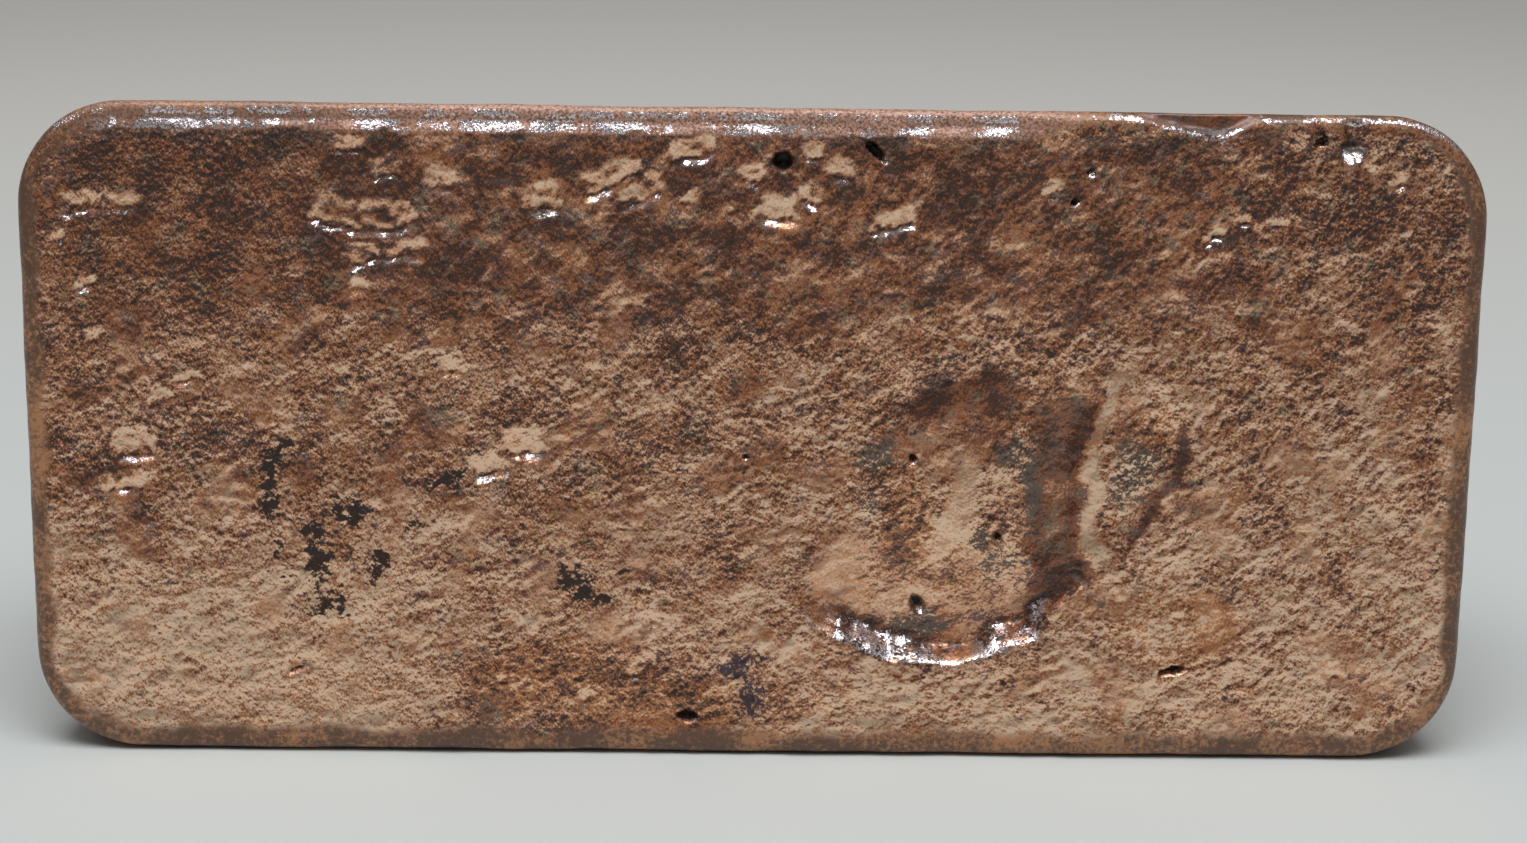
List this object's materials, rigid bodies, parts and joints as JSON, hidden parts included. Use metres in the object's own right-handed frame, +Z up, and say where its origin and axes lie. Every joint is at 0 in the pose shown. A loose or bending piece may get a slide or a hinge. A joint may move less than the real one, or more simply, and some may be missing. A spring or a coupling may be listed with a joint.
{
  "type": "copper ingot",
  "caption": "Hand-poured copper ingot with drafted walls and round corners. Its rough pour face has a shrinkage hollow and blow holes. It stands on a long wall.",
  "frame": {"origin": "on the floor, under the middle of the ingot's bounding box", "axes": "+X along the length, +Y from the pour face back to the mould floor, +Z up"},
  "size_m": [0.15, 0.0336, 0.0673],
  "materials": {
    "copper": "rough cast copper, brown patina with dull pink-tan high spots"
  },
  "bodies": {
    "root": {"ingot": "copper"}
  },
  "joints": []
}
